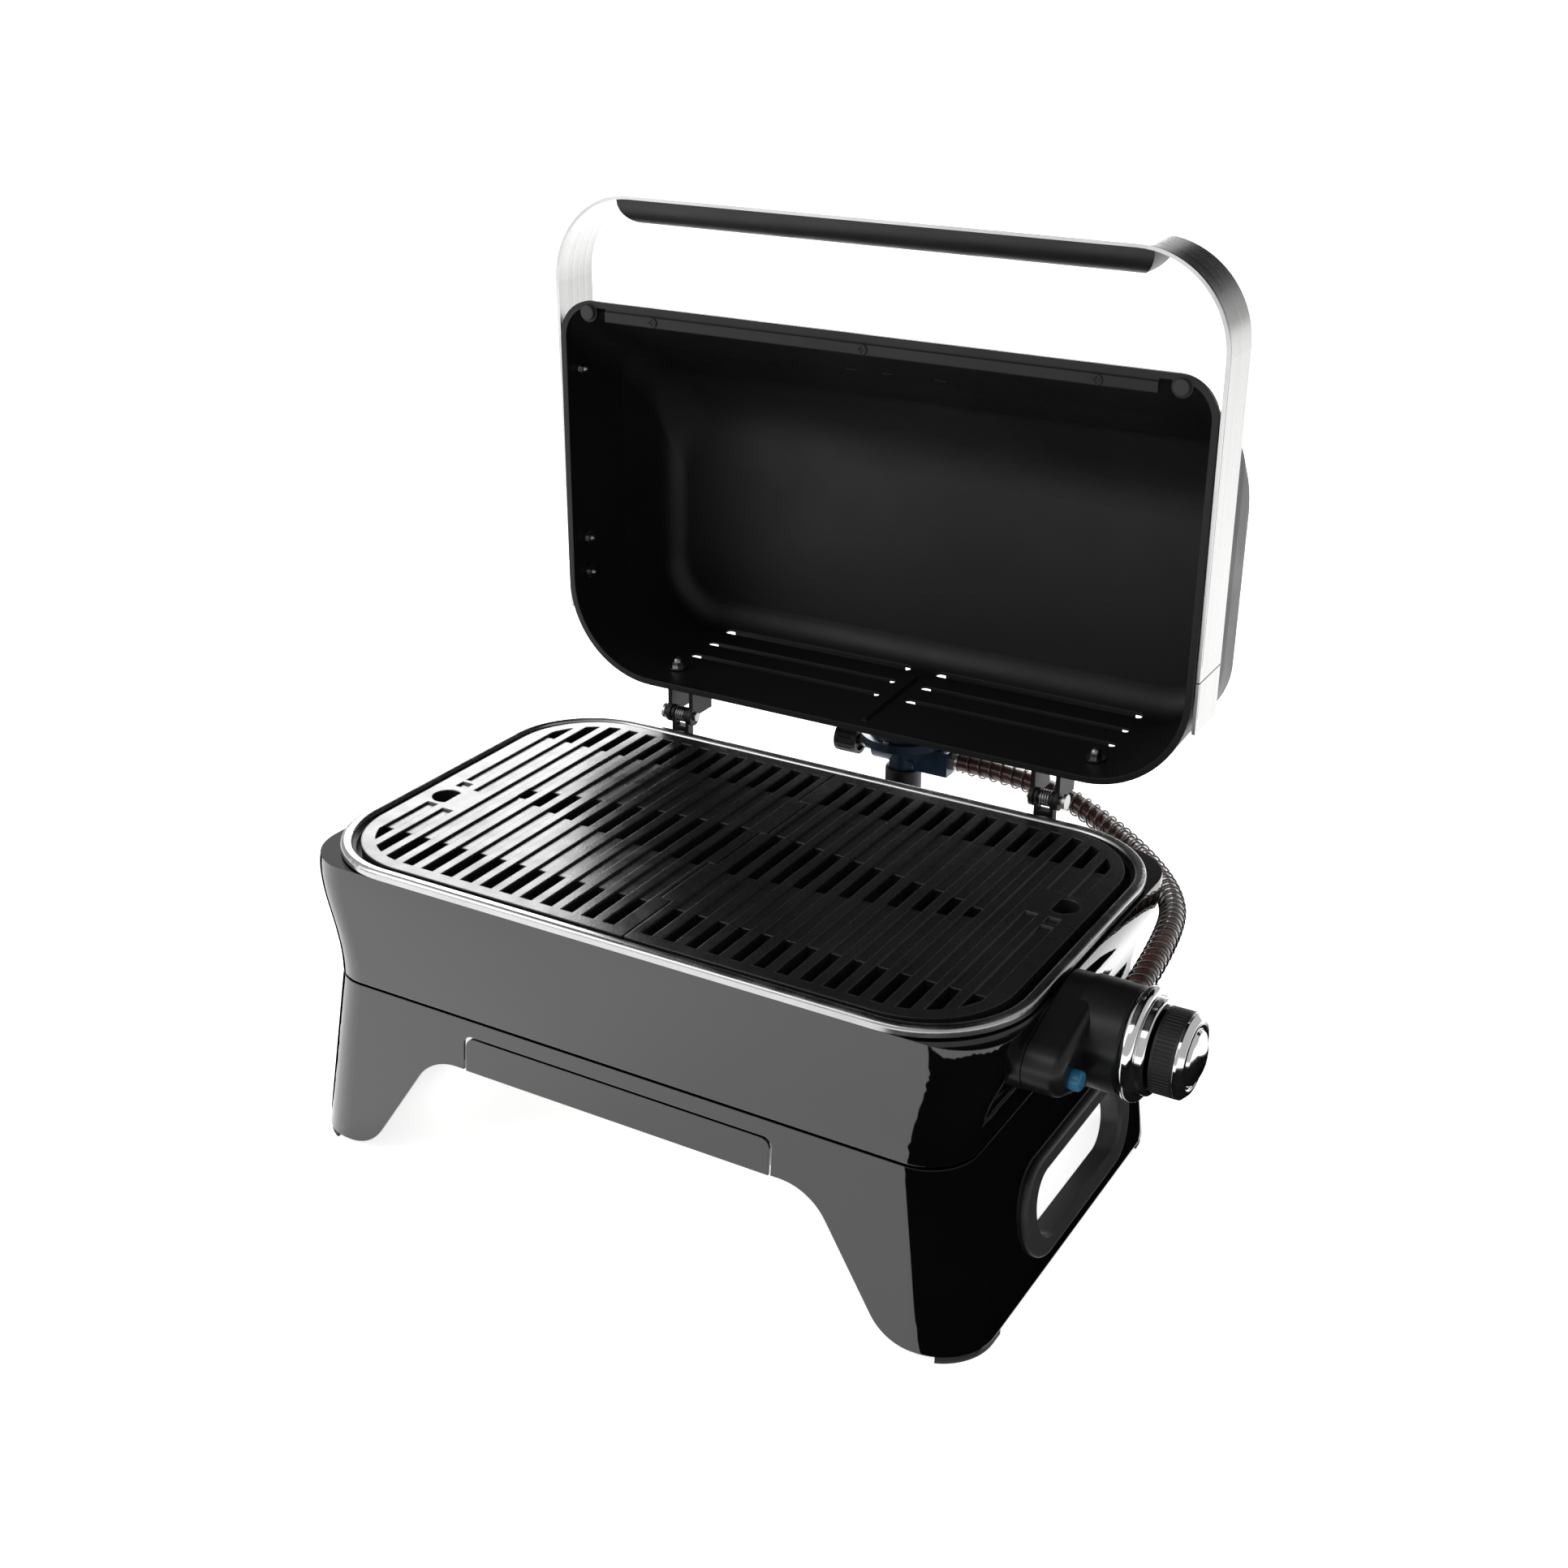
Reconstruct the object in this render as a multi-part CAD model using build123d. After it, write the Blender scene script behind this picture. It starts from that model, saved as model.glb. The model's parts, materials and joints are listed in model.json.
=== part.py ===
"""Tabletop gas grill with a hinged lid: every piece as its own solid.

Everything is drawn about the middle of the body, floor at z = 0, in millimetres: +X to the
control side, +Y to the hinges, +Z up. save() then moves it so that the origin is the middle of
the whole footprint. The lid is drawn standing open at a right angle, resting on its stop.
"""

import math
import os

from build123d import *

# ---- driving dimensions -----------------------------------------------------------------
BODY_CENTRE = (-38.95, -60.75)   # where the middle of the body lies in the finished frame

FOOT_HEIGHT = 5.0               # rubber under the legs
SEAM_Z = 117.0                  # joint between the leg base and the upper shell
LEG_TOP_Z = SEAM_Z - 1.0
DECK_Z = 192.0                  # top of the upper shell
GRATE_TOP = 198.0
PAN_FLANGE = 1.2
RING_TOP = 198.6
WALL = 1.8                      # pressed shells
GAP = 0.3                       # between parts that only lie against each other

LEG_HALF = (233.5, 148.0, 34.0)     # half width, half depth, corner radius at the feet
SEAM_HALF = (216.0, 139.5, 30.0)    # the same at the seam
REAR_SHIFT = 4.0                    # by which the feet stand less far out at the back

RING_HALF = (230.0, 139.0, 65.0)
RING_WIDTH = 7.5
GRATE_HALF = (217.0, 129.0, 56.0)
GRATE_THICK = 10.0
SLOT_PITCH = 14.5
SLOT_WIDTH = 7.5
SLOT_COUNT = 14
FIRST_SLOT_X = 12.7
SLOT_BORDER = 8.5               # solid border of the grate outside the slots
SLOT_FLOOR = 1.5                # depth of the closed floor between the bars
BAR_CHAMFER = 0.5

LID_HALF_WIDTH = 227.0
LID_RIM_Y = 147.0               # plane of the lid's rim while it stands open
LID_LOW_Z = 223.0
LID_HIGH_Z = 484.0
LID_DEPTH = 118.0
LID_WALL = 1.4
LID_RIM = 4.2                   # width of the turned-in rim
STRIP_THICK = 1.5
STRIP_Z = (471.8, 478.4)
STRIP_SCREWS_X = (-153.0, 0.0, 153.0)
STRIP_SCREW_Z = 475.1
FOLD_DEPTH = 66.0
TURN_DEPTH = 92.0               # where the lid's walls start to round into its back

HINGE_X = 137.0
PIN_Y = 151.0
PIN_Z = 205.0
PIN_RADIUS = 3.0

HANDLE_TOP_Z = 553.0
HANDLE_HALF_WIDTH = 229.6
HANDLE_THICK = 2.2
HANDLE_STRIP = 38.0
HANDLE_CORNER = 59.0
HANDLE_LEAN = 0.9               # degrees that the straps lean away from the lid's rim
HANDLE_FRONT_Y = 146.3
HANDLE_END_Z = 301.6
END_PLATE_LOW_Z = 268.0         # the end plates carry the straps' line on down to here
STRAP_BOLTS_Z = (434.0, 315.0, 290.0)

DRAWER_HALF_WIDTH = 105.0
DRAWER_LOW_Z = 82.5
DRAWER_HIGH_Z = 104.5
TRAY_FRONT_Y = -137.4
ARCH_TOP_Z = 83.0

KNOB_Y = -42.0
KNOB_Z = 169.2
BUTTON_Y = -88.0
BUTTON_Z = 165.0
COLLAR_X = 234.0
HOUSING_X = 257.0
BARREL_X = 275.0
BARREL_RADIUS = 30.5
KNOB_BACK_X = 290.0
VALVE_STEM = 4.0                # radius

REG_X = -7.0
REG_Y = 238.0
REG_AXIS_Z = 175.0

HOSE_DIAMETER = 13.0
GUARD_DIAMETER = 16.6
HOSE_ROUTE = [
    (262.0, -22.0, 181.0),
    (257.0, 50.0, 181.0),
    (232.0, 139.0, 166.0),
    (163.0, 214.0, 163.0),
    (98.0, 238.0, 175.0),
    (37.0, 238.0, 175.0),
]

HAND_HOLE_Y = 10.0
HAND_HOLE_Z = 45.0
HAND_HOLE = (158.0, 62.0, 30.0)     # bezel length, height, corner radius
HAND_OPENING = (127.0, 40.0, 19.0)
HAND_SLEEVE = 10.0
SIDE_SLOPE = (LEG_HALF[0] - SEAM_HALF[0]) / (LEG_TOP_Z - FOOT_HEIGHT)


# ---- helpers ----------------------------------------------------------------------------
def save(name, shape):
    """Writes one node, moved from the body's middle to the middle of the footprint."""
    solids = [Pos(*BODY_CENTRE, 0) * solid for solid in shape.solids()]
    placed = solids[0] if len(solids) == 1 else Compound(children=solids)
    placed.label = name
    export_step(placed, f"parts/{name}.step")


def plate(half, z, inset=0.0):
    """A rounded rectangle, half width, half depth and corner radius, lying at height z."""
    w, d, r = (value - inset for value in half)
    return Pos(0, 0, z) * RectangleRounded(2 * w, 2 * d, max(r, 1.0))


def block(x, y, z):
    """A box from (low, high) pairs."""
    size = [high - low for low, high in (x, y, z)]
    middle = [(high + low) / 2 for low, high in (x, y, z)]
    return Pos(*middle) * Box(*size)


def rod(start, end, radius):
    """A round bar between two points."""
    way = Vector(*end) - Vector(*start)
    plane = Plane(origin=start, z_dir=way)
    return extrude(plane * Circle(radius), amount=way.length)


def along_x(x0, x1, y, z, radius):
    return rod((x0, y, z), (x1, y, z), radius)


def group(solids):
    return Compound(children=list(solids))


def mirrored(shape):
    """The shape and its mirror image across the body's middle plane."""
    return group([shape, shape.mirror(Plane.YZ)])


def side_plane(sign):
    """The plane of the leaning side panel at the hand hole; local x runs along Y."""
    x = SEAM_HALF[0] + SIDE_SLOPE * (LEG_TOP_Z - HAND_HOLE_Z)
    normal = (sign, 0, SIDE_SLOPE)
    return Plane(origin=(sign * x, HAND_HOLE_Y, HAND_HOLE_Z), x_dir=(0, sign, 0), z_dir=normal)


def side_slab(sign, size, low, high, inset=0.0):
    """A rounded block on a side panel, from low to high along its outward normal."""
    length, height, radius = size
    face = RectangleRounded(length - 2 * inset, height - 2 * inset, radius - inset)
    start = side_plane(sign).offset(low)
    return extrude(start * face, amount=high - low)


# ---- body shells ------------------------------------------------------------------------
def foot_plate(z, inset=0.0):
    """The outline at the feet: it leans out at the front and sides, and hardly at the back."""
    return Pos(0, -REAR_SHIFT, 0) * plate((LEG_HALF[0], LEG_HALF[1] - REAR_SHIFT, LEG_HALF[2]), z, inset)


def leg_envelope(inset=0.0):
    return loft([foot_plate(FOOT_HEIGHT, inset), plate(SEAM_HALF, LEG_TOP_Z, inset)])


SHELL_SECTIONS = [
    (SEAM_Z + 1, (216.0, 139.5, 30.0)),
    (136.0, (217.5, 139.2, 30.0)),
    (158.0, (225.0, 138.6, 32.0)),
    (176.0, (231.0, 138.0, 34.0)),
    (DECK_Z, (232.0, 137.0, 36.0)),
]


def shell_envelope(inset=0.0, top=DECK_Z):
    return loft([plate(half, min(z, top), inset) for z, half in SHELL_SECTIONS])


def arch_cut():
    """The opening under the front and back of the leg base, through both."""
    low_x, high_x = 185.2, 131.4
    outline = [(-low_x, 0), (-high_x, ARCH_TOP_Z), (high_x, ARCH_TOP_Z), (low_x, 0)]
    face = make_face(Polyline(*outline, close=True))
    face = fillet(face.vertices().group_by(Axis.Y)[-1], 35)
    toe_x = low_x - (low_x - high_x) * FOOT_HEIGHT / ARCH_TOP_Z
    outline = [(toe_x, FOOT_HEIGHT), (high_x, ARCH_TOP_Z), (300, ARCH_TOP_Z), (300, FOOT_HEIGHT)]
    leg = make_face(Polyline(*outline, close=True))
    toe = leg - fillet(leg.vertices().sort_by(Axis.X)[1], 30)
    toe = Plane.XZ * toe
    cut = extrude(Plane.XZ * face, amount=400, both=True)
    rounding = extrude(toe, amount=400, both=True)
    return cut + rounding + rounding.mirror(Plane.YZ)


def drawer_front_block(gap):
    width = DRAWER_HALF_WIDTH + gap
    face = Pos(0, (DRAWER_HIGH_Z + gap) / 2) * Rectangle(2 * width, DRAWER_HIGH_Z + gap)
    face = fillet(face.vertices().group_by(Axis.Y)[-1], 6)
    face -= Pos(0, (DRAWER_LOW_Z - gap) / 2 - 20) * Rectangle(500, DRAWER_LOW_Z - gap + 40)
    return Pos(0, -110, 0) * extrude(Plane.XZ * face, amount=60)


def make_leg_base():
    shell = leg_envelope() - leg_envelope(WALL)
    shell -= arch_cut()
    shell -= drawer_front_block(1.5)
    for sign in (-1, 1):
        shell -= side_slab(sign, HAND_HOLE, -40, 40, inset=2.5)
    flange = extrude(plate(SEAM_HALF, SEAM_Z - 4, WALL - 0.2), amount=3)
    flange -= extrude(plate(SEAM_HALF, SEAM_Z - 5, 12), amount=6)
    return shell + flange


def make_upper_shell():
    outer = shell_envelope()
    inner = shell_envelope(WALL, DECK_Z - 3)
    well = extrude(plate(RING_HALF, DECK_Z - 20, RING_WIDTH), amount=40)
    shell = outer - inner - well
    shell -= along_x(200, 240, KNOB_Y, KNOB_Z, 12)
    return shell


def make_rim_ring():
    low = DECK_Z + PAN_FLANGE
    ring = extrude(plate(RING_HALF, low), amount=RING_TOP - low)
    ring -= extrude(plate(RING_HALF, DECK_Z, RING_WIDTH), amount=20)
    top = ring.edges().filter_by(lambda e: abs(e.center().Z - RING_TOP) < 0.01)
    return fillet(top, 2.8)


def make_firebox_pan():
    """The fire bowl: its flange lies under the ring, and a ledge inside carries the grates."""
    ledge_z = GRATE_TOP - GRATE_THICK - GAP
    lip_inset = RING_WIDTH + GAP
    bowl = [(ledge_z - 1.5, 10.0), (150.0, 14.0), (128.0, 24.0)]
    bowl = [(z, inset + lip_inset) for z, inset in bowl]
    pan = extrude(plate(RING_HALF, DECK_Z, 3.0), amount=PAN_FLANGE)
    pan += extrude(plate(RING_HALF, ledge_z - 1.5, lip_inset), amount=DECK_Z - ledge_z + 2)
    pan -= extrude(plate(RING_HALF, ledge_z, lip_inset + 1.5), amount=20)
    pan += loft([plate(RING_HALF, z, inset) for z, inset in bowl])
    sheet = 1.5
    hollow = [(ledge_z + 1, bowl[0][1]), bowl[1], (bowl[2][0] + sheet, bowl[2][1])]
    pan -= loft([plate(RING_HALF, z, inset + sheet) for z, inset in hollow])
    pan -= Pos(0, 0, 120) * Cylinder(22, 40)
    pan -= along_x(180, 240, KNOB_Y, BURNER_Z, 11.5)
    return pan


def make_heat_shield():
    sheet = extrude(plate(SEAM_HALF, 111.0, WALL + 1.0), amount=1.5)
    sheet -= Pos(0, 0, 111) * Cylinder(30, 10)
    return sheet


def make_drawer_rails():
    wall = (DRAWER_HALF_WIDTH + 1, DRAWER_HALF_WIDTH + 2.4)
    rail = block((wall[0] - 13, wall[1]), (-128, 118), (84, 85.4))
    rail += block(wall, (-128, 118), (84, 111))
    rail += block((wall[0], wall[1] + 8), (-128, 118), (109.6, 111))
    return mirrored(rail)


def make_handle_bezel(sign):
    flange = side_slab(sign, HAND_HOLE, 0.05, 3.6)
    normal = side_plane(sign).z_dir
    outer = flange.faces().sort_by(lambda f: (f.center() - side_plane(sign).origin).dot(normal))[-1]
    flange = fillet(outer.edges(), 3.0)
    sleeve = side_slab(sign, HAND_HOLE, -HAND_SLEEVE, 2, inset=3.0)
    bezel = flange + sleeve
    bezel -= side_slab(sign, HAND_OPENING, -30, 10)
    wide = (HAND_OPENING[0] + 3, HAND_OPENING[1] + 3, HAND_OPENING[2] + 1.5)
    start = side_plane(sign).offset(1.6)
    mouth = side_plane(sign).offset(3.7)
    chamfer = loft([start * RectangleRounded(*HAND_OPENING), mouth * RectangleRounded(*wide)])
    return bezel - chamfer


def make_foot_pads():
    ring = extrude(foot_plate(0, 0.8), amount=FOOT_HEIGHT)
    ring -= extrude(foot_plate(-1, 17), amount=FOOT_HEIGHT + 2)
    pads = []
    for sx in (-1, 1):
        for sy in (-1, 1):
            x = sorted((sx * 212, sx * 240))
            y = sorted((sy * 104, sy * 150))
            pads.append((ring & block(x, y, (0, FOOT_HEIGHT))).solids()[0])
    return group(pads)


# ---- grease drawer ----------------------------------------------------------------------
def make_drawer_front():
    skin = leg_envelope() - leg_envelope(WALL)
    front = (skin & drawer_front_block(0)).solids()[0]
    for x in (-60, 60):
        front += block((x - 10, x + 10), (-140.2, TRAY_FRONT_Y), (88, 100))
    return front


def make_grease_tray():
    half_width = DRAWER_HALF_WIDTH - 1.5
    low = DRAWER_LOW_Z + 3.3
    high = DRAWER_HIGH_Z - 2
    y = (TRAY_FRONT_Y, 112)
    tray = block((-half_width, half_width), y, (low, high))
    tray -= block((-half_width + 1.2, half_width - 1.2), (y[0] + 1.2, y[1] - 1.2), (low + 1.2, high + 5))
    return tray


# ---- burner -----------------------------------------------------------------------------
BURNER_Z = 156.0
BURNER_LEG_Y = 58.0
BURNER_HALF = 168.0


def make_burner_tube():
    """A loop of tube with two rows of ports, and the mixing tube that feeds it."""
    reach = BURNER_HALF - BURNER_LEG_Y
    front = Line((-reach, -BURNER_LEG_Y, BURNER_Z), (reach, -BURNER_LEG_Y, BURNER_Z))
    right = JernArc(front @ 1, (1, 0, 0), BURNER_LEG_Y, 180)
    back = Line(right @ 1, (-reach, BURNER_LEG_Y, BURNER_Z))
    left = JernArc(back @ 1, (-1, 0, 0), BURNER_LEG_Y, 180)
    path = Wire([front, right, back, left])
    tube = sweep(Plane(origin=front @ 0, z_dir=(1, 0, 0)) * Circle(8), path=path)
    tube += along_x(148, 212, KNOB_Y, BURNER_Z, 9)
    tube -= along_x(180, 220, KNOB_Y, BURNER_Z, 7.6)
    for row in (-BURNER_LEG_Y, BURNER_LEG_Y):
        for i in range(-9, 10):
            tube -= Pos(i * 12, row, BURNER_Z + 7) * Cylinder(1.2, 6)
    return tube


def make_burner_brackets():
    bracket = block((98, 101), (-BURNER_LEG_Y - 12, BURNER_LEG_Y + 12), (129.6, BURNER_Z - 3))
    for y in (-BURNER_LEG_Y, BURNER_LEG_Y):
        bracket -= along_x(90, 110, y, BURNER_Z, 8.1)
    bracket -= block((90, 110), (-40, 40), (134, 170))
    return mirrored(bracket)


def make_igniter_electrode():
    ceramic = along_x(150, 186, -82, BURNER_Z + 2, 3.2)
    wire = rod((150, -82, BURNER_Z + 2), (130, -66, BURNER_Z + 8), 1.0)
    post = block((168, 170), (-84, -80), (129.6, BURNER_Z + 2))
    return ceramic + wire + post


def make_flame_tamers():
    """Folded plates that lie over the two long runs of the burner."""
    half, rise, sheet = 22.0, 8.0, 1.5
    roof = [(-half, 172), (0, 172 + rise), (half, 172), (half, 172 + sheet), (0, 172 + rise + sheet)]
    roof.append((-half, 172 + sheet))
    section = make_face(Polyline(*roof, close=True))
    plates = []
    for y in (-BURNER_LEG_Y, BURNER_LEG_Y):
        plates.append(extrude(Plane.YZ * (Pos(y, 0) * section), amount=205, both=True))
    return group(plates)


# ---- grates -----------------------------------------------------------------------------
SEAM_STEPS = [(-129.0, 3.0), (-79.0, -5.0), (-26.0, 0.0), (26.0, 5.0), (79.0, -3.0)]
WEB_EDGE_Y = 84.0
D_HOLE = (200.0, 31.0)


def grate_blank():
    """The right half of the oval grate, cut along the stepped seam between the two halves."""
    whole = extrude(plate(GRATE_HALF, GRATE_TOP - GRATE_THICK), amount=GRATE_THICK)
    cut = []
    for i, (y, x) in enumerate(SEAM_STEPS):
        nxt = SEAM_STEPS[i + 1][0] if i + 1 < len(SEAM_STEPS) else 129.0
        cut += [(x + 0.6, y), (x + 0.6, nxt)]
    outline = [(-300, -140), (cut[0][0], -140)] + cut + [(cut[-1][0], 140), (-300, 140)]
    side = make_face(Polyline(*outline, close=True))
    return whole - extrude(Pos(0, 0, GRATE_TOP - 20) * side, amount=40)


def slot_cut(side, span, low_z, border):
    """A cutter for one stretch of a slot, with bevelled top edges; it follows the grate's border."""
    width, length = side[1] - side[0], span[1] - span[0]
    if length < 3:
        return None
    middle = Pos((side[0] + side[1]) / 2, (span[0] + span[1]) / 2)
    face = (middle * Rectangle(width, length)) & border
    if not face.faces():
        return None
    cut = extrude(Pos(0, 0, low_z) * face, amount=GRATE_TOP + 1 - low_z)
    wide = (middle * Rectangle(width + 2 * BAR_CHAMFER, length + 2 * BAR_CHAMFER)) & border
    start, stop = Pos(0, 0, GRATE_TOP - BAR_CHAMFER) * face, Pos(0, 0, GRATE_TOP) * wide
    if len(start.faces()[0].edges()) == len(stop.faces()[0].edges()) == 4:
        cut += loft([start, stop])
    return cut


def middle_reach(i):
    """Half length of the open middle of a slot; the outer slots are closed there."""
    share = (10.5 - i) / 10.5
    return 30.0 * math.sqrt(max(share, 0.0)) if share > 0 else 0.0


def make_grate():
    """The right grate casting; the left one is the same casting turned half round."""
    grate = grate_blank()
    border = plate(GRATE_HALF, 0, SLOT_BORDER)
    reach = GRATE_HALF[1]
    for i in range(SLOT_COUNT):
        x = FIRST_SLOT_X + i * SLOT_PITCH
        side = (x - SLOT_WIDTH / 2, x + SLOT_WIDTH / 2)
        spans = [(-reach, reach)]
        if i == SLOT_COUNT - 1:
            spans = [(-reach, D_HOLE[1] - 27), (D_HOLE[1] - 23, D_HOLE[1] - 16), (D_HOLE[1] + 13, reach)]
        if i == SLOT_COUNT - 2:
            spans = [(-reach, D_HOLE[1] - 16), (D_HOLE[1] + 16, reach)]
        for span in spans:
            grate -= slot_cut(side, span, GRATE_TOP - SLOT_FLOOR, border)
        half = middle_reach(i)
        for span in ((-reach, -WEB_EDGE_Y), (-half, half), (WEB_EDGE_Y, reach)):
            if span[1] - span[0] > 8:
                through = slot_cut(side, span, GRATE_TOP - 20, border)
                grate = grate - through if through else grate
    hole = Pos(*D_HOLE) * (Circle(9.5) - Pos(-10, 0) * Rectangle(10, 30))
    grate -= extrude(Pos(0, 0, GRATE_TOP - 20) * hole, amount=40)
    return grate


# ---- lid --------------------------------------------------------------------------------
LID_SECTIONS = [   # depth from the rim, half width, low edge, high edge, top and bottom radius
    (0.0, 227.0, 223.0, 484.0, 26.0, 66.0),
    (30.0, 226.0, 224.8, 465.0, 26.0, 64.0),
    (FOLD_DEPTH, 224.5, 227.0, 444.0, 26.0, 61.0),
    (TURN_DEPTH, 220.8, 228.9, 426.4, 30.0, 54.0),
    (102.0, 219.2, 229.6, 416.6, 33.0, 50.0),
    (109.5, 216.9, 232.4, 403.6, 35.0, 46.0),
    (114.5, 213.3, 237.4, 391.2, 34.0, 42.0),
    (117.2, 208.8, 243.0, 379.0, 31.0, 37.5),
    (LID_DEPTH, 204.0, 248.5, 367.7, 28.0, 33.0),
]


def lid_outline(half_width, low, high, r_top, r_bottom):
    """A rectangle with one radius on its two top corners and another on the bottom two."""
    x = half_width
    edges = [
        Line((-x + r_top, high), (x - r_top, high)),
        CenterArc((x - r_top, high - r_top), r_top, 90, -90),
        Line((x, high - r_top), (x, low + r_bottom)),
        CenterArc((x - r_bottom, low + r_bottom), r_bottom, 0, -90),
        Line((x - r_bottom, low), (-x + r_bottom, low)),
        CenterArc((-x + r_bottom, low + r_bottom), r_bottom, 270, -90),
        Line((-x, low + r_bottom), (-x, high - r_top)),
        CenterArc((-x + r_top, high - r_top), r_top, 180, -90),
    ]
    return make_face(edges)


def lid_face(section, inset=0.0, shift=0.0):
    depth, half_width, low, high, r_top, r_bottom = section
    plane = Plane(origin=(0, LID_RIM_Y + depth + shift, 0), x_dir=(1, 0, 0), z_dir=(0, -1, 0))
    face = lid_outline(half_width - inset, low + inset, high - inset, r_top - inset, r_bottom - inset)
    return plane * face


def lid_envelope(inset=0.0, shift=0.0):
    stretches = [(0, FOLD_DEPTH), (FOLD_DEPTH, TURN_DEPTH), (TURN_DEPTH, LID_DEPTH)]
    lofts = []
    for start, end in stretches:
        sections = [s for s in LID_SECTIONS if start <= s[0] <= end]
        lofts.append(loft([lid_face(s, inset, shift) for s in sections]))
    return lofts[0] + lofts[1] + lofts[2]


LID_LOW_SLOPE = 6.0 / 96.0


def lid_low_z(depth):
    """Height of the outside of the lid's lower wall at some depth, up to where it rounds off."""
    return LID_LOW_Z + LID_LOW_SLOPE * depth


VENT_Y = (202.6, 226.3, 250.0)
VENT_LENGTH = 152.0
VENT_X = 86.0
LOUVRE_DROP = 4.5               # below the lid's lower wall, along the back of each vent
VENT_WIDTH = 5.6
BUMPERS = [(-203.8, LID_HIGH_Z - 7.4), (203.8, LID_HIGH_Z - 7.4)]


def make_lid_shell():
    shell = lid_envelope() - lid_envelope(LID_WALL, -LID_WALL)
    rim = extrude(lid_face(LID_SECTIONS[0]), amount=-3)
    rim -= extrude(lid_face(LID_SECTIONS[0], LID_RIM, -1), amount=-6)
    ledge = (STRIP_Z[0] - 0.5, LID_HIGH_Z - 2)
    flange = block((-190, 190), (LID_RIM_Y, LID_RIM_Y + 2), ledge)
    for x, z in BUMPERS:
        flange += rod((x, LID_RIM_Y, z), (x, LID_RIM_Y + 2, z), 6.6)
    shell = shell + rim + flange + lid_rib()
    for y in VENT_Y:
        for sign in (-1, 1):
            slot = Pos(sign * VENT_X, y, 225) * SlotOverall(VENT_LENGTH, VENT_WIDTH)
            shell -= extrude(slot, amount=30, both=True)
            shell += vent_louvre(sign * VENT_X, y)
    for x in (-38.0, -11.0, 26.0):
        shell -= Pos(x, LID_RIM_Y + 55, 450) * Rot(60, 0, 0) * Box(9, 14, 2.4)
    for y, z in strap_bolts():
        shell -= along_x(-300, 300, y, z, 3.1)
    for x in (-NUT_X, NUT_X):
        shell -= Pos(x, NUT_Y, 225) * Cylinder(4.8, 20)
    return shell


def vent_louvre(x, y):
    """The flap along the far edge of a vent, a little shorter than the vent."""
    half = VENT_LENGTH / 2 - 6
    near = y + VENT_WIDTH / 2
    wall = lid_low_z(near - LID_RIM_Y)
    rise = 1.0 if near < 240 else 2.4
    return block((x - half, x + half), (near, near + 1.2), (wall - LOUVRE_DROP, wall + rise))


def lid_rib():
    """The stiffening bead along the middle of the lid's lower wall."""
    y0, y1 = LID_RIM_Y + 14, LID_RIM_Y + 92
    low = lid_low_z(14) + LID_WALL - 0.4
    high = lid_low_z(92) + LID_WALL - 0.4
    return rod((0, y0, low), (0, y1, high), 2.4)


def make_lid_front_strip():
    y = LID_RIM_Y
    strip = block((-190, 190), (y - STRIP_THICK, y - 0.02), STRIP_Z)
    for x in STRIP_SCREWS_X:
        strip -= rod((x, y - 5, STRIP_SCREW_Z), (x, y + 5, STRIP_SCREW_Z), 1.6)
    return strip


def make_strip_screws():
    """Low cross-slotted heads that hold the strip on the lid's front edge."""
    screws = []
    z = STRIP_SCREW_Z
    face = LID_RIM_Y - STRIP_THICK
    slot_y = (face - 1.0, face - 0.35)
    for x in STRIP_SCREWS_X:
        head = rod((x, face - 0.7, z), (x, face, z), 3.4)
        head -= block((x - 0.5, x + 0.5), slot_y, (z - 2.2, z + 2.2))
        head -= block((x - 2.2, x + 2.2), slot_y, (z - 0.5, z + 0.5))
        screws.append(head + rod((x, face, z), (x, LID_RIM_Y, z), 1.5))
    return group(screws)


def make_lid_bumpers():
    bumpers = []
    for x, z in BUMPERS:
        pad = rod((x, LID_RIM_Y, z), (x, LID_RIM_Y - 2.4, z), 4.9)
        front = pad.edges().filter_by(lambda e: e.center().Y < LID_RIM_Y - 2.3)
        bumpers.append(fillet(front, 0.8))
    return group(bumpers)


def acorn_nut(base, way, size=4.0):
    """A domed nut on its washer, standing on a point and looking along a direction."""
    plane = Plane(origin=base, z_dir=way)
    washer = extrude(plane * Circle(size * 1.6), amount=1.0)
    hexagon = extrude(plane.offset(1.0) * RegularPolygon(size * 1.05, 6), amount=size * 0.8)
    dome = plane.offset(1.0 + size * 0.8) * Sphere(size * 0.85)
    return washer + hexagon + dome


NUT_X = 158.0
NUT_Y = 178.0


def make_hinge_fasteners():
    """Screws through the lid's lower wall into the hinge leaves, with domed nuts inside."""
    z = lid_low_z(NUT_Y - LID_RIM_Y) + LID_WALL + 0.6
    nut = acorn_nut((NUT_X, NUT_Y, z), (0, 0, 1), 4.2)
    nut += rod((NUT_X, NUT_Y, z - 7.0), (NUT_X, NUT_Y, z + 1), 3.4)
    nut += rod((NUT_X, NUT_Y, z - 8.6), (NUT_X, NUT_Y, z - 6.6), 5.4)
    return mirrored(nut)


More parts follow.
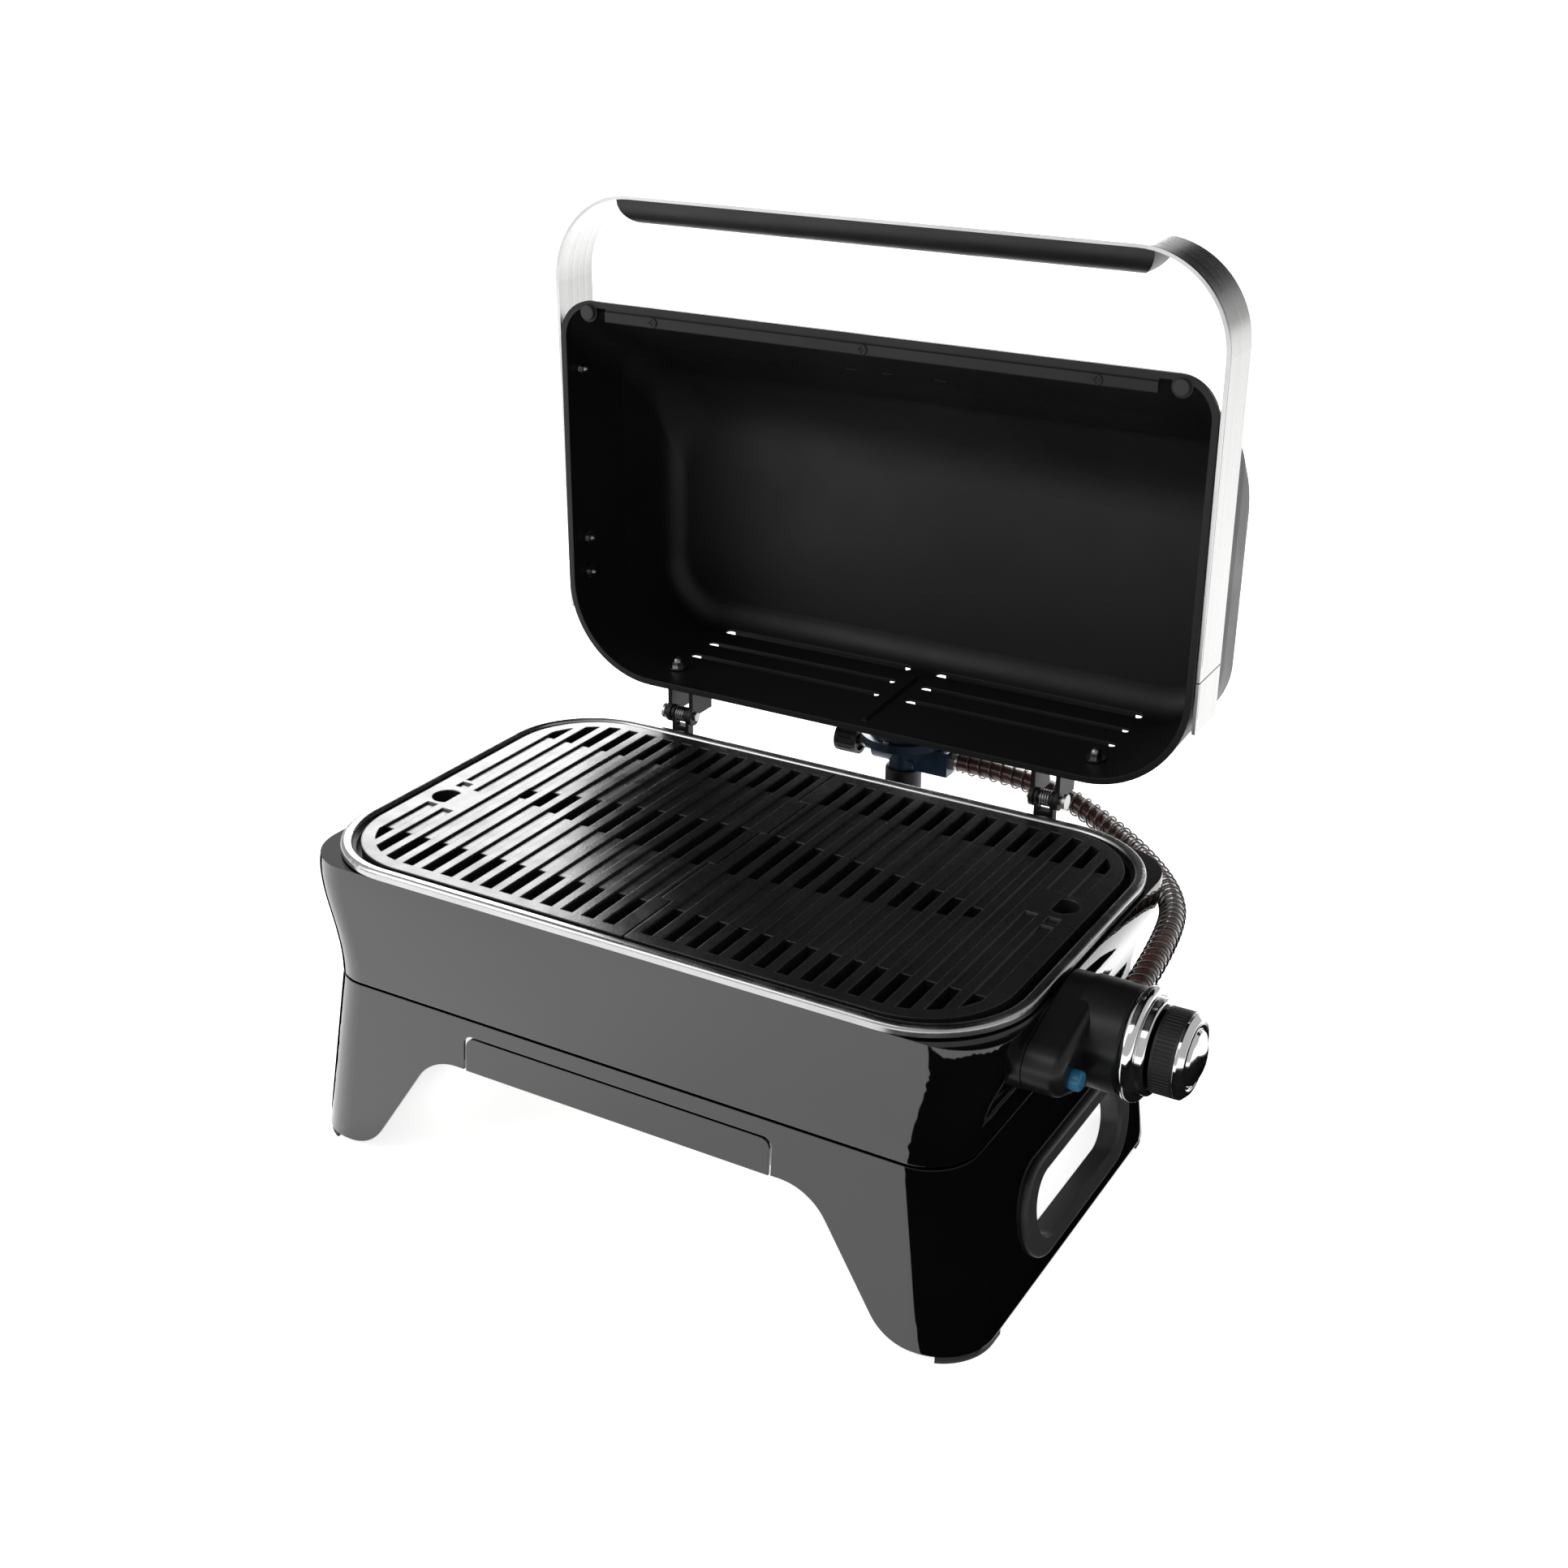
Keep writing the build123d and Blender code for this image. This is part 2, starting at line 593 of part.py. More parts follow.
def make_lid_hinge_leaves():
    """The leaf under the lid wall and the ear that drops from it to the pin."""
    z = LID_LOW_Z - 0.2
    leaf = block((HINGE_X - 10, NUT_X + 12), (0, NUT_Y + 12 - LID_RIM_Y), (-2.0, 0))
    leaf -= block((HINGE_X - 20, NUT_X + 20), (-1, 6), (-4, 2))
    leaf = Pos(0, LID_RIM_Y, z) * Rot(math.degrees(math.atan(LID_LOW_SLOPE)), 0, 0) * leaf
    ear_x = (HINGE_X - 10, HINGE_X - 7)
    ear = block(ear_x, (PIN_Y - 3, PIN_Y + 22), (PIN_Z, z - 0.5))
    ear += along_x(*ear_x, PIN_Y, PIN_Z, 6.5)
    second = Pos(17, 0, 0) * ear
    leaf += ear + second
    leaf -= along_x(HINGE_X - 20, HINGE_X + 30, PIN_Y, PIN_Z, PIN_RADIUS + 0.05)
    leaf -= Pos(NUT_X, NUT_Y, z) * Cylinder(4.8, 20)
    return mirrored(leaf)


def strap_outline(inset=0.0, low=HANDLE_END_Z):
    """The U of the handle seen from the front, standing on its open ends."""
    top = HANDLE_TOP_Z - inset
    low -= 10 * inset
    face = Pos(0, (top + low) / 2) * Rectangle(2 * (HANDLE_HALF_WIDTH - inset), top - low)
    return fillet(face.vertices().group_by(Axis.Y)[-1], HANDLE_CORNER - inset)


def lean_handle(shape):
    """Leans the handle back about its top edge and brings it to the lid's rim."""
    turned = Pos(0, 0, HANDLE_TOP_Z) * Rot(HANDLE_LEAN, 0, 0) * Pos(0, 0, -HANDLE_TOP_Z) * shape
    return Pos(0, HANDLE_FRONT_Y, 0) * turned


def strap_body(low):
    """The whole strap, with a fine line cut along the front edge of its outer face."""
    full = Plane.XZ * (strap_outline(0, low) - strap_outline(HANDLE_THICK, low))
    line = Plane.XZ.offset(-1.6) * (strap_outline(-1, low) - strap_outline(0.5, low))
    return extrude(full, amount=-HANDLE_STRIP) - extrude(line, amount=-0.6)


def make_handle_strip():
    return lean_handle(strap_body(HANDLE_END_Z))


def make_handle_end_plates():
    """Short plates that carry the straps' line on below the seam."""
    ends = strap_body(END_PLATE_LOW_Z) & block((-300, 300), (-10, 60), (0, HANDLE_END_Z - 0.8))
    return lean_handle(group(ends.solids()))


def make_handle_grip():
    """The half-round grip moulded under the cross bar, fitted to the bar's rounded ends."""
    top = HANDLE_TOP_Z - HANDLE_THICK
    half = HANDLE_HALF_WIDTH - HANDLE_CORNER + 10
    width = HANDLE_STRIP - 4
    section = Pos(HANDLE_STRIP / 2, top) * (Circle(width / 2) & Pos(0, -width / 2) * Rectangle(width, width))
    grip = extrude(Plane.YZ * section, amount=half, both=True)
    side = Pos(0, top - 9.0) * Rectangle(2 * half, 18.0)
    side = fillet(side.vertices().group_by(Axis.Y)[0], 16)
    side &= strap_outline(HANDLE_THICK + 0.02)
    return lean_handle(grip & extrude(Plane.XZ * side, amount=100, both=True))


def strap_bolts():
    """Where the straps are bolted to the lid, in Y and Z: the middle of the leaning strip."""
    lean = math.tan(math.radians(HANDLE_LEAN))
    return [(HANDLE_FRONT_Y + 17.0 + (HANDLE_TOP_Z - z) * lean, z) for z in STRAP_BOLTS_Z]


def lid_half_width(y):
    return LID_HALF_WIDTH - 2.5 * (y - LID_RIM_Y) / FOLD_DEPTH


def make_handle_bolts():
    """Studs behind the straps, with a washer in the gap and a domed nut inside the lid."""
    bolts = []
    inside = HANDLE_HALF_WIDTH - HANDLE_THICK - 0.02
    for y, z in strap_bolts():
        shank = along_x(lid_half_width(y) - 4, inside, y, z, 2.9)
        washer = along_x(lid_half_width(y - 5.5) + 0.1, inside, y, z, 5.5)
        nut = acorn_nut((lid_half_width(y + 7) - LID_WALL - 0.25, y, z), (-1, 0, 0), 3.0)
        bolts.append(shank + washer + nut)
    return group(bolts + [b.mirror(Plane.YZ) for b in bolts])


# ---- hinges on the body -----------------------------------------------------------------
def make_body_hinge_leaves():
    """A leaf on the back of the upper shell, folded out to a knuckle between the lid's ears."""
    x = (HINGE_X - 6.6, HINGE_X + 6.6)
    back = 139.25
    leaf = block((HINGE_X - 9, HINGE_X + 9), (back, back + 2.5), (140, 184))
    web = block(x, (back, PIN_Y + 3), (184, 187))
    neck = block(x, (PIN_Y - 3.5, PIN_Y + 3.0), (184, PIN_Z))
    knuckle = along_x(*x, PIN_Y, PIN_Z, 5.6)
    leaf += web + neck + knuckle + block(x, (back, back + 2.5), (180, 187))
    leaf -= along_x(HINGE_X - 20, HINGE_X + 20, PIN_Y, PIN_Z, PIN_RADIUS)
    leaf -= block((HINGE_X - 4.2, HINGE_X + 4.2), (PIN_Y - 12, PIN_Y + 12), (PIN_Z - 8, PIN_Z + 12))
    return mirrored(leaf)


def make_hinge_pins():
    pin = along_x(HINGE_X - 12, HINGE_X + 12.5, PIN_Y, PIN_Z, PIN_RADIUS)
    pin += along_x(HINGE_X + 12.5, HINGE_X + 14.5, PIN_Y, PIN_Z, 5.2)
    return mirrored(pin)


def make_hinge_springs():
    """A torsion spring round each pin, one leg on the body leaf."""
    pitch, turns, radius = 1.7, 4, 4.6
    height = pitch * turns
    helix = Helix(pitch, height, radius)
    start = Plane(origin=helix @ 0, z_dir=helix % 0)
    coil = sweep(start * Circle(0.7), path=helix)
    coil = Pos(HINGE_X - height / 2, PIN_Y, PIN_Z) * Rot(0, 90, 0) * coil
    return mirrored(coil)


def make_hinge_rivets():
    rivets = []
    for z in (148, 170):
        rivets.append(rod((HINGE_X, 141.8, z), (HINGE_X, 143.6, z), 3.6))
    return group(rivets + [r.mirror(Plane.YZ) for r in rivets])


# ---- control side -----------------------------------------------------------------------
def control_outline(inset=0.0):
    """Seen from the side: a round housing for the knob, drawn out to a nose for the button."""
    big, small = (KNOB_Y, KNOB_Z - 1.0, 31.0 - inset), (BUTTON_Y, KNOB_Z, 16.0 - inset)
    run = math.dist(big[:2], small[:2])
    way = math.atan2(small[1] - big[1], small[0] - big[0])
    spread = math.acos((big[2] - small[2]) / run)
    tips = []
    for y, z, radius in (big, small):
        for side in (-1, 1):
            angle = way + side * spread
            tips.append((y + radius * math.cos(angle), z + radius * math.sin(angle)))
    far_big = (big[0] - big[2] * math.cos(way), big[1] - big[2] * math.sin(way))
    far_small = (small[0] + small[2] * math.cos(way), small[1] + small[2] * math.sin(way))
    edges = [
        ThreePointArc(tips[1], far_big, tips[0]),
        Line(tips[0], tips[2]),
        ThreePointArc(tips[2], far_small, tips[3]),
        Line(tips[3], tips[1]),
    ]
    return make_face(edges)


def make_control_collar():
    collar = extrude(Plane.YZ.offset(212) * control_outline(), amount=COLLAR_X - 212)
    collar -= shell_envelope()
    collar -= along_x(200, 240, KNOB_Y, KNOB_Z, 12)
    collar -= block((200, 240), (-150, 50), (DECK_Z - 0.5, 220))
    solids = collar.solids().sort_by(SortBy.VOLUME)
    return solids[-1]


def make_control_housing():
    body = extrude(Plane.YZ.offset(COLLAR_X + 0.4) * control_outline(0.5), amount=HOUSING_X - COLLAR_X - 0.4)
    front = body.edges().filter_by(lambda e: abs(e.center().X - HOUSING_X) < 0.01)
    body = fillet(front, 7)
    body -= extrude(Plane.YZ.offset(COLLAR_X) * control_outline(3.0), amount=HOUSING_X - COLLAR_X - 3.0)
    barrel = along_x(HOUSING_X - 10, BARREL_X, KNOB_Y, KNOB_Z, BARREL_RADIUS)
    rim = barrel.edges().filter_by(lambda e: abs(e.center().X - BARREL_X) < 0.01)
    body += fillet(rim, 2.5)
    body -= along_x(COLLAR_X, BARREL_X - 3, KNOB_Y, KNOB_Z, BARREL_RADIUS - 3)
    body -= along_x(COLLAR_X, BARREL_X + 5, KNOB_Y, KNOB_Z, 10.0)
    body -= along_x(COLLAR_X, BARREL_X + 5, BUTTON_Y, BUTTON_Z, 6.2)
    x, start, z = HOSE_ROUTE[0]
    body -= rod((x, start - 20, z), (x, start + 30, z), GUARD_DIAMETER / 2 + 0.4)
    return body


def make_knob_bezel():
    """The bright stepped ring between the barrel and the knob."""
    lip = along_x(BARREL_X, BARREL_X + 8.0, KNOB_Y, KNOB_Z, 32.3)
    lip = fillet(lip.edges().filter_by(GeomType.CIRCLE), 3.4)
    neck = along_x(BARREL_X + 7.0, BARREL_X + 13.0, KNOB_Y, KNOB_Z, 27.0)
    front = neck.edges().filter_by(lambda e: abs(e.center().X - BARREL_X - 13.0) < 0.01)
    ring = lip + fillet(front, 1.6)
    return ring - along_x(BARREL_X - 1, BARREL_X + 20, KNOB_Y, KNOB_Z, 10.0)


def make_gas_valve():
    """The valve, with an elbow down to the jet in the burner's mixing tube."""
    valve = along_x(213.5, 266, KNOB_Y, KNOB_Z, 8.0)
    valve += rod((217, KNOB_Y, KNOB_Z), (217, KNOB_Y, BURNER_Z), 4.0)
    valve += along_x(208, 217, KNOB_Y, BURNER_Z, 3.2)
    valve -= along_x(256, 300, KNOB_Y, KNOB_Z, VALVE_STEM + 0.05)
    return valve


def make_valve_stem():
    return along_x(256.3, KNOB_BACK_X + 6, KNOB_Y, KNOB_Z, VALVE_STEM)


def make_hose_fitting():
    """The fitting inside the barrel that the hose is pressed on, with its hex nut."""
    x, start, z = HOSE_ROUTE[0]
    fitting = rod((x, start - 13, z), (x, start - 0.6, z), 5.0)
    nut = Plane(origin=(x, start - 8, z), z_dir=(0, 1, 0)) * RegularPolygon(7.6, 6)
    return fitting + extrude(nut, amount=7)


def make_piezo_igniter():
    return along_x(COLLAR_X + 0.05, HOUSING_X - 9.5, BUTTON_Y, BUTTON_Z, 5.8)


def make_igniter_button():
    cap = along_x(HOUSING_X - 5.5, HOUSING_X + 6.0, BUTTON_Y, BUTTON_Z, 5.6)
    rim = cap.edges().filter_by(lambda e: abs(e.center().X - HOUSING_X - 6.0) < 0.01)
    cap = fillet(rim, 1.6)
    return cap + along_x(HOUSING_X - 5.5, HOUSING_X - 3.4, BUTTON_Y, BUTTON_Z, 7.2)


def make_knob_grip():
    """The ribbed band of the knob, with its hub on the valve stem."""
    length = 13.0
    band = along_x(KNOB_BACK_X, KNOB_BACK_X + length, KNOB_Y, KNOB_Z, 24.0)
    band -= along_x(KNOB_BACK_X - 1, KNOB_BACK_X + 9, KNOB_Y, KNOB_Z, 21.0)
    band += along_x(KNOB_BACK_X + 1, KNOB_BACK_X + 10, KNOB_Y, KNOB_Z, 8.0)
    band -= along_x(KNOB_BACK_X - 1, KNOB_BACK_X + 7, KNOB_Y, KNOB_Z, VALVE_STEM + 0.02)
    ribs = 64
    for i in range(ribs):
        angle = 2 * math.pi * i / ribs
        y = KNOB_Y + 24.2 * math.cos(angle)
        z = KNOB_Z + 24.2 * math.sin(angle)
        band -= along_x(KNOB_BACK_X + 1.5, KNOB_BACK_X + length - 1.5, y, z, 0.6)
    return band


def make_knob_cap():
    """The bright face: a stepped bezel round a low dome, turned about the knob's axis."""
    ball, reach, height = 29.4, 30.0, 10.0
    dome = CenterArc((height - ball, 0), ball, 0, reach)
    profile = [(0.02, 0), (0.02, 24), (1.8, 24), (4.8, 20.6), (5.0, 18), (4.2, 17.6), (4.2, 16), dome @ 1]
    edges = [Line(a, b) for a, b in zip(profile, profile[1:])] + [dome]
    edges.append(Line((height, 0), profile[0]))
    cap = revolve(make_face(edges), axis=Axis.X)
    return Pos(KNOB_BACK_X + 13.0, KNOB_Y, KNOB_Z) * cap


# ---- regulator and hose -----------------------------------------------------------------
def make_regulator_body():
    z = REG_AXIS_Z
    body = along_x(REG_X - 22, REG_X + 20, REG_Y, z, 9.5)
    body += block((REG_X + 12, REG_X + 38), (REG_Y - 9.5, REG_Y + 9.5), (z - 10, z + 8))
    body += rod((REG_X, REG_Y, 146), (REG_X, REG_Y, z), 10.5)
    cone = loft([Pos(REG_X, REG_Y, z + 4) * Circle(14), Pos(REG_X, REG_Y, z + 9) * Circle(28)])
    body += cone
    body += rod((REG_X, REG_Y, z + 9), (REG_X, REG_Y, z + 12), 31.5)
    body += along_x(REG_X - 29, REG_X - 20, REG_Y, z, 5.0)
    return body


def make_regulator_cap():
    z = REG_AXIS_Z + 12
    cap = rod((REG_X, REG_Y, z), (REG_X, REG_Y, z + 3), 31.5)
    cap += loft([Pos(REG_X, REG_Y, z + 3) * Circle(26.4), Pos(REG_X, REG_Y, z + 11) * Circle(22)])
    cap += rod((REG_X, REG_Y, z + 11), (REG_X, REG_Y, z + 14), 9)
    return cap


def make_regulator_screws():
    screws = []
    for i in range(6):
        angle = math.radians(30 + 60 * i)
        x = REG_X + 29 * math.cos(angle)
        y = REG_Y + 29 * math.sin(angle)
        z = REG_AXIS_Z + 15
        screws.append(rod((x, y, z), (x, y, z + 1.6), 2.2))
    return group(screws)


def make_regulator_collar():
    collar = rod((REG_X, REG_Y, 141), (REG_X, REG_Y, 163), 13)
    collar -= rod((REG_X, REG_Y, 140), (REG_X, REG_Y, 164), 10.5)
    top = collar.edges().filter_by(lambda e: abs(e.center().Z - 163) < 0.01 and e.radius > 12)
    return fillet(top, 1.5)


def make_regulator_outlet():
    start = REG_X + 38
    plane = Plane(origin=(start, REG_Y, REG_AXIS_Z), z_dir=(1, 0, 0))
    nut = extrude(plane * RegularPolygon(8.2, 6), amount=4)
    return nut + along_x(start + 4, HOSE_ROUTE[-1][0], REG_Y, REG_AXIS_Z, 7.2)


def make_regulator_knob():
    x0, x1 = REG_X - 51.5, REG_X - 34.5
    knob = along_x(x0, x1, REG_Y, REG_AXIS_Z, 10.5)
    knob -= along_x(REG_X - 37, x1 + 1, REG_Y, REG_AXIS_Z, 8.0)
    knob -= along_x(x0 + 5, x1, REG_Y, REG_AXIS_Z, 4.05)
    for i in range(16):
        angle = 2 * math.pi * i / 16
        y = REG_Y + 10.9 * math.cos(angle)
        z = REG_AXIS_Z + 10.9 * math.sin(angle)
        knob -= along_x(x0 + 3, x1 - 3, y, z, 1.1)
    return knob


def make_regulator_spindle():
    return along_x(REG_X - 46, REG_X - 29, REG_Y, REG_AXIS_Z, 4.0)


HOLDER_Z = 141.0


def make_regulator_holder():
    """The folded bracket on the back of the shell that carries the regulator when it is stowed."""
    back = 139.6
    width = 17.0
    plate_back = block((REG_X - width, REG_X + width), (back, back + 2.5), (122, 160))
    arm = block((REG_X - width, REG_X + width), (back, REG_Y), (HOLDER_Z - 3, HOLDER_Z))
    cup = rod((REG_X, REG_Y, HOLDER_Z - 3), (REG_X, REG_Y, HOLDER_Z), width)
    holder = plate_back + arm + cup
    holder -= rod((REG_X, REG_Y, HOLDER_Z - 10), (REG_X, REG_Y, HOLDER_Z + 10), 8.0)
    return holder


def make_holder_screws():
    screws = []
    for x in (REG_X - 10, REG_X + 10):
        screws.append(rod((x, 142.1, 152), (x, 144.2, 152), 3.4))
    return group(screws)


def hose_radii():
    """Bend radius at each inner point of the route: as wide as the shorter run allows."""
    radii = []
    for i in range(1, len(HOSE_ROUTE) - 1):
        before = Vector(*HOSE_ROUTE[i]) - Vector(*HOSE_ROUTE[i - 1])
        after = Vector(*HOSE_ROUTE[i + 1]) - Vector(*HOSE_ROUTE[i])
        half_turn = math.radians(before.get_angle(after)) / 2
        radii.append(0.45 * min(before.length, after.length) / math.tan(half_turn))
    return radii


def hose_path():
    return FilletPolyline(*HOSE_ROUTE, radius=hose_radii())


def make_gas_hose():
    path = hose_path()
    start = Plane(origin=path @ 0, z_dir=path % 0)
    return sweep(start * Circle(HOSE_DIAMETER / 2), path=path)


def make_hose_guard():
    path = hose_path()
    start = Plane(origin=path @ 0, z_dir=path % 0)
    outer = sweep(start * Circle(GUARD_DIAMETER / 2), path=path)
    inner = sweep(start * Circle(HOSE_DIAMETER / 2), path=path)
    return outer - inner


# ---- the whole assembly -----------------------------------------------------------------
def main():
    os.makedirs("parts", exist_ok=True)
    grate = make_grate()
    pieces = {
        "leg_base": make_leg_base(),
        "upper_shell": make_upper_shell(),
        "rim_ring": make_rim_ring(),
        "firebox_pan": make_firebox_pan(),
        "heat_shield": make_heat_shield(),
        "drawer_rails": make_drawer_rails(),
        "handle_bezel_right": make_handle_bezel(1),
        "handle_bezel_left": make_handle_bezel(-1),
        "foot_pads": make_foot_pads(),
        "burner_tube": make_burner_tube(),
        "flame_tamers": make_flame_tamers(),
        "burner_brackets": make_burner_brackets(),
        "igniter_electrode": make_igniter_electrode(),
        "control_collar": make_control_collar(),
        "control_housing": make_control_housing(),
        "knob_bezel": make_knob_bezel(),
        "gas_valve": make_gas_valve(),
        "valve_stem": make_valve_stem(),
        "hose_fitting": make_hose_fitting(),
        "piezo_igniter": make_piezo_igniter(),
        "body_hinge_leaves": make_body_hinge_leaves(),
        "hinge_pins": make_hinge_pins(),
        "hinge_springs": make_hinge_springs(),
        "hinge_rivets": make_hinge_rivets(),
        "regulator_body": make_regulator_body(),
        "regulator_cap": make_regulator_cap(),
        "regulator_screws": make_regulator_screws(),
        "regulator_collar": make_regulator_collar(),
        "regulator_outlet": make_regulator_outlet(),
        "regulator_spindle": make_regulator_spindle(),
        "regulator_holder": make_regulator_holder(),
        "holder_screws": make_holder_screws(),
        "gas_hose": make_gas_hose(),
        "hose_spring_guard": make_hose_guard(),
        "lid_shell": make_lid_shell(),
        "lid_front_strip": make_lid_front_strip(),
        "lid_strip_screws": make_strip_screws(),
        "lid_bumpers": make_lid_bumpers(),
        "lid_hinge_leaves": make_lid_hinge_leaves(),
        "lid_hinge_fasteners": make_hinge_fasteners(),
        "handle_strip": make_handle_strip(),
        "handle_end_plates": make_handle_end_plates(),
        "handle_grip": make_handle_grip(),
        "handle_bolts": make_handle_bolts(),
        "drawer_front": make_drawer_front(),
        "grease_tray": make_grease_tray(),
        "knob_grip": make_knob_grip(),
        "knob_cap": make_knob_cap(),
        "igniter_button": make_igniter_button(),
        "regulator_knob": make_regulator_knob(),
        "grate_right": grate,
        "grate_left": Rot(0, 0, 180) * grate,
    }
    for name, shape in pieces.items():
        save(name, shape)
    print("hose length", round(hose_path().length, 1))
    print("hose bend radii", [round(r, 1) for r in hose_radii()])


main()
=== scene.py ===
"""The looks of the tabletop gas grill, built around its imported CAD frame."""

import json
import math

import bpy
from mathutils import Matrix, Vector


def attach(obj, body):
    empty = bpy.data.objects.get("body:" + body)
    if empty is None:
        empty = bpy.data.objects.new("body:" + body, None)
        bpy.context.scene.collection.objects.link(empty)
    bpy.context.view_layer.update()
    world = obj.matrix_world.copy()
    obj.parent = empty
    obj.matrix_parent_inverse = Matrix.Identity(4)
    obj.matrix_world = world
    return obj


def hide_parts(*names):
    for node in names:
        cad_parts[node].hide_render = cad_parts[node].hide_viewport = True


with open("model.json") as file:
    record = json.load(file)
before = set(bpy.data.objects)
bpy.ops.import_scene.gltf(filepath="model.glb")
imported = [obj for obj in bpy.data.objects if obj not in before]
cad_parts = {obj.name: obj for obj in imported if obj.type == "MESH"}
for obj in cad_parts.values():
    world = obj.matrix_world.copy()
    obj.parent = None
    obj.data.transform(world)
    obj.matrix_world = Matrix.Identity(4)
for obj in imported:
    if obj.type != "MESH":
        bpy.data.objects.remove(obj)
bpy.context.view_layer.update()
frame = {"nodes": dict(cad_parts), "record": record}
nodes = frame["nodes"]

# ---- the frame's own numbers --------------------------------------------------------------
BODY_CENTRE = Vector((-0.03895, -0.06075, 0.0))     # middle of the grill's body in the frame

# ---- camera -------------------------------------------------------------------------------
CAMERA_AT = BODY_CENTRE + Vector((0.5698, -0.9379, 0.7309))
CAMERA_YAW, CAMERA_PITCH, CAMERA_ROLL = 0.521, 0.420, 0.009
CAMERA_LENS = 45.99
CAMERA_SENSOR = 36.0
CAMERA_SEES_TO = 100.0


def make_camera():
    """A camera that looks down at the front right corner."""
    yaw, pitch, roll = CAMERA_YAW, CAMERA_PITCH, CAMERA_ROLL
    forward = Vector((-math.sin(yaw) * math.cos(pitch), math.cos(yaw) * math.cos(pitch), -math.sin(pitch)))
    right = Vector((math.cos(yaw), math.sin(yaw), 0.0))
    up = right.cross(forward)
    x = math.cos(roll) * right + math.sin(roll) * up
    y = math.cos(roll) * up - math.sin(roll) * right
    data = bpy.data.cameras.new("camera")
    data.sensor_width = CAMERA_SENSOR
    data.lens = CAMERA_LENS
    data.clip_end = CAMERA_SEES_TO
    camera = bpy.data.objects.new("camera", data)
    bpy.context.scene.collection.objects.link(camera)
    camera.matrix_world = Matrix((
        (x[0], y[0], -forward[0], CAMERA_AT[0]),
        (x[1], y[1], -forward[1], CAMERA_AT[1]),
        (x[2], y[2], -forward[2], CAMERA_AT[2]),
        (0, 0, 0, 1),
    ))
    bpy.context.scene.camera = camera


make_camera()

# ---- hose ---------------------------------------------------------------------------------
HOSE_RADIUS = 0.0065
HOSE_ROUTE = [
    (262.0, -22.0, 181.0),
    (257.0, 50.0, 181.0),
    (232.0, 139.0, 166.0),
    (163.0, 214.0, 163.0),
    (98.0, 238.0, 175.0),
    (37.0, 238.0, 175.0),
]
GUARD_PITCH = 0.0086
GUARD_COIL_RADIUS = 0.00762
GUARD_WIRE_RADIUS = 0.00062
GUARD_WIRE_SIDES = 8
GUARD_STEPS_PER_TURN = 20
GUARD_END_GAP = 0.002


def link(name, data):
    piece = bpy.data.objects.new(name, data)
    bpy.context.scene.collection.objects.link(piece)
    return piece


def make_hose():
    """The hose's line, which gets its thickness once the guard has been wound on it."""
    curve = bpy.data.curves.new("hose", "CURVE")
    curve.dimensions = "3D"
    spline = curve.splines.new("NURBS")
    spline.points.add(len(HOSE_ROUTE) - 1)
    for point, at in zip(spline.points, HOSE_ROUTE):
        point.co = (*(BODY_CENTRE + Vector(at) / 1000), 1.0)
        point.radius = HOSE_RADIUS
    spline.order_u = 3
    spline.use_endpoint_u = True
    spline.resolution_u = 24
    return link("hose", curve)


def curve_points(piece):
    """Points along a curve that has no bevel yet."""
    mesh = bpy.data.meshes.new_from_object(piece)
    points = [v.co.copy() for v in mesh.vertices]
    bpy.data.meshes.remove(mesh)
    return points


def resample(points, step):
    """Evenly spaced points and the distance travelled at each."""
    lengths = [0.0]
    for a, b in zip(points, points[1:]):
        lengths.append(lengths[-1] + (b - a).length)
    count = int(lengths[-1] / step)
    out, j = [], 0
    for i in range(count + 1):
        target = lengths[-1] * i / count
        while j < len(lengths) - 2 and lengths[j + 1] < target:
            j += 1
        share = (target - lengths[j]) / (lengths[j + 1] - lengths[j])
        out.append((points[j].lerp(points[j + 1], share), target))
    return out


def carried_frames(track):
    """Two directions across the path at each point, carried along it without twisting."""
    across = Vector((0, 0, 1))
    out = []
    for i, (at, travelled) in enumerate(track):
        ahead = track[min(i + 1, len(track) - 1)][0] - track[max(i - 1, 0)][0]
        ahead.normalize()
        across = (across - ahead * across.dot(ahead)).normalized()
        out.append((at, travelled, across.copy(), ahead.cross(across)))
    return out


def tube_mesh(name, centres, radius, sides):
    """A closed tube with flat ends round a line of points."""
    vertices, faces = [], []
    across = Vector((0.3, 0.5, 1.0)).normalized()
    for i, at in enumerate(centres):
        ahead = (centres[min(i + 1, len(centres) - 1)] - centres[max(i - 1, 0)]).normalized()
        across = (across - ahead * across.dot(ahead)).normalized()
        other = ahead.cross(across)
        for k in range(sides):
            angle = 2 * math.pi * k / sides
            vertices.append(at + radius * (math.cos(angle) * across + math.sin(angle) * other))
    for i in range(len(centres) - 1):
        for k in range(sides):
            a, b = i * sides + k, i * sides + (k + 1) % sides
            faces.append((a, b, b + sides, a + sides))
    faces.append(tuple(reversed(range(sides))))
    last = (len(centres) - 1) * sides
    faces.append(tuple(last + k for k in range(sides)))
    mesh = bpy.data.meshes.new(name)
    mesh.from_pydata([tuple(v) for v in vertices], [], faces)
    for polygon in mesh.polygons:
        polygon.use_smooth = len(polygon.vertices) == 4
    return mesh


